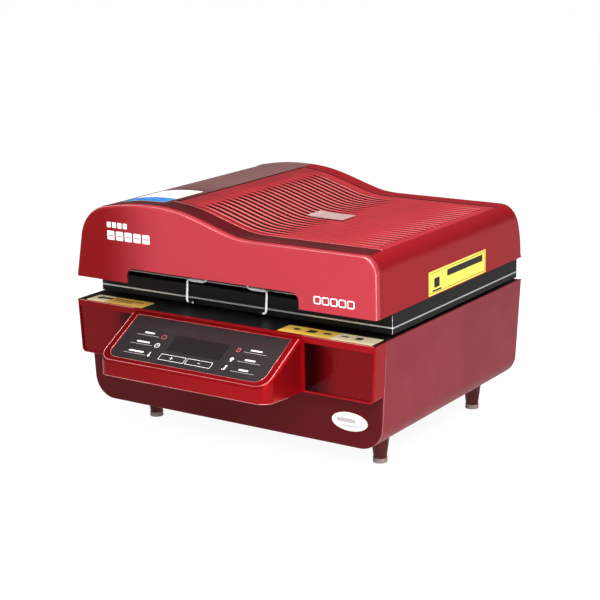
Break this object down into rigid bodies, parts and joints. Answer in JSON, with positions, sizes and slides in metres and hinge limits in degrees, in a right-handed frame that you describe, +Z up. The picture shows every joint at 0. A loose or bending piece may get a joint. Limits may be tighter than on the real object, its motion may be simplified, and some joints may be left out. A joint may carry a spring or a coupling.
{
  "type": "vacuum sublimation press",
  "caption": "Benchtop vacuum sublimation oven: hinged lid with oven chamber over a membrane frame and vacuum tray, sloping control console in front, four feet.",
  "frame": {"origin": "on the surface it stands on, under the middle of the bounding box", "axes": "+Z up, -Y towards the operator's console, +X to the operator's right"},
  "size_m": [0.6042, 0.612, 0.417],
  "materials": {
    "red_paint": "metallic gloss paint",
    "red_gloss": "moulded, lacquered gloss",
    "dark_red_gloss": "moulded gloss",
    "deep_red_gloss": "moulded high gloss",
    "red_ribbed": "ribbed, lacquered gloss",
    "black_acrylic": "back-printed acrylic",
    "smoked_acrylic": "smoked acrylic",
    "circuit_board": "solder mask",
    "black_paint": "satin powder coat",
    "black_sheet": "matte powder coat",
    "stainless": "brushed",
    "zinc_steel": "zinc plated",
    "aluminium": "satin",
    "chrome_wire": "bright plated",
    "brass": "turned",
    "silicone": "satin",
    "rubber": "matte",
    "pad_rubber": "matte",
    "mineral_wool": "fibrous",
    "black_plastic": "moulded",
    "brown_plastic": "moulded satin",
    "red_rocker": "moulded",
    "badge_metal": "satin anodised",
    "label_vinyl": "printed vinyl"
  },
  "bodies": {
    "base": {"left_side_panel": "red_paint", "right_side_panel": "red_paint", "rear_panel": "red_paint", "bottom_plate": "black_sheet", "lower_front_panel": "dark_red_gloss", "control_housing": "red_gloss", "housing_windows": "deep_red_gloss", "console_bezel": "red_gloss", "control_overlay": "black_acrylic", "display_window": "smoked_acrylic", "control_board": "circuit_board", "top_deck": "black_paint", "vacuum_tray": "stainless", "tray_gasket": "silicone", "perforated_platen": "aluminium", "tray_heater": "stainless", "heater_clamps": "zinc_steel", "base_insulation": "mineral_wool", "heat_shield": "zinc_steel", "tray_port": "brass", "vacuum_pump": "aluminium", "pump_mounts": "rubber", "release_valve": "brass", "vacuum_hose": "silicone", "power_board": "circuit_board", "mains_inlet": "black_plastic", "switch_body": "black_plastic", "fuse_holder": "black_plastic", "fan_frame": "black_plastic", "fan_guard": "chrome_wire", "feet": "brown_plastic", "foot_pads": "pad_rubber", "case_screws": "zinc_steel", "base_hinge_brackets": "zinc_steel", "hinge_pins": "chrome_wire", "base_labels": "label_vinyl"},
    "membrane_frame": {"frame_hinge_leaves": "black_paint", "frame_lower_rail": "black_paint", "frame_edge_trim": "aluminium", "silicone_membrane": "silicone", "frame_upper_rail": "black_paint", "frame_screws": "zinc_steel"},
    "bail": {"bail_handle": "chrome_wire", "bail_sleeves": "chrome_wire"},
    "lid": {"lid_shell": "red_paint", "lid_fascia": "red_gloss", "ribbed_panel": "red_ribbed", "oven_chamber": "stainless", "front_baffle": "black_sheet", "lid_insulation": "mineral_wool", "oven_heaters": "stainless", "circulation_motor": "zinc_steel", "lid_thermocouple": "stainless", "lid_hinge_arms": "zinc_steel", "badge_plate": "badge_metal", "lid_labels": "label_vinyl"},
    "impeller": {"impeller_shaft": "chrome_wire", "circulation_impeller": "aluminium"},
    "rocker": {"switch_rocker": "red_rocker"},
    "cooling_fan": {"fan_rotor": "black_plastic"}
  },
  "joints": [
    {"name": "lid_hinge", "type": "hinge", "parent": "base", "child": "lid", "pos_m": [0, 0.2995, 0.257], "axis": [-1, 0, 0], "range_deg": [0, 70]},
    {"name": "frame_hinge", "type": "hinge", "parent": "base", "child": "membrane_frame", "pos_m": [0, 0.2995, 0.257], "axis": [-1, 0, 0], "range_deg": [0, 42]},
    {"name": "bail_swing", "type": "hinge", "parent": "membrane_frame", "child": "bail", "pos_m": [0, -0.149, 0.245], "axis": [1, 0, 0], "range_deg": [0, 94]},
    {"name": "rocker_tilt", "type": "hinge", "parent": "base", "child": "rocker", "pos_m": [0.15, 0.301, 0.112], "axis": [1, 0, 0], "range_deg": [0, 16]},
    {"name": "cooling_fan_spin", "type": "hinge", "parent": "base", "child": "cooling_fan", "pos_m": [-0.18, 0.285, 0.15], "axis": [0, 1, 0], "continuous": true},
    {"name": "impeller_spin", "type": "hinge", "parent": "lid", "child": "impeller", "pos_m": [-0.127, 0.063, 0.34], "axis": [0, 0, 1], "continuous": true}
  ],
  "couplings": [
    {"joint": "frame_hinge", "follows": "lid_hinge", "ratio": 0.6}
  ]
}
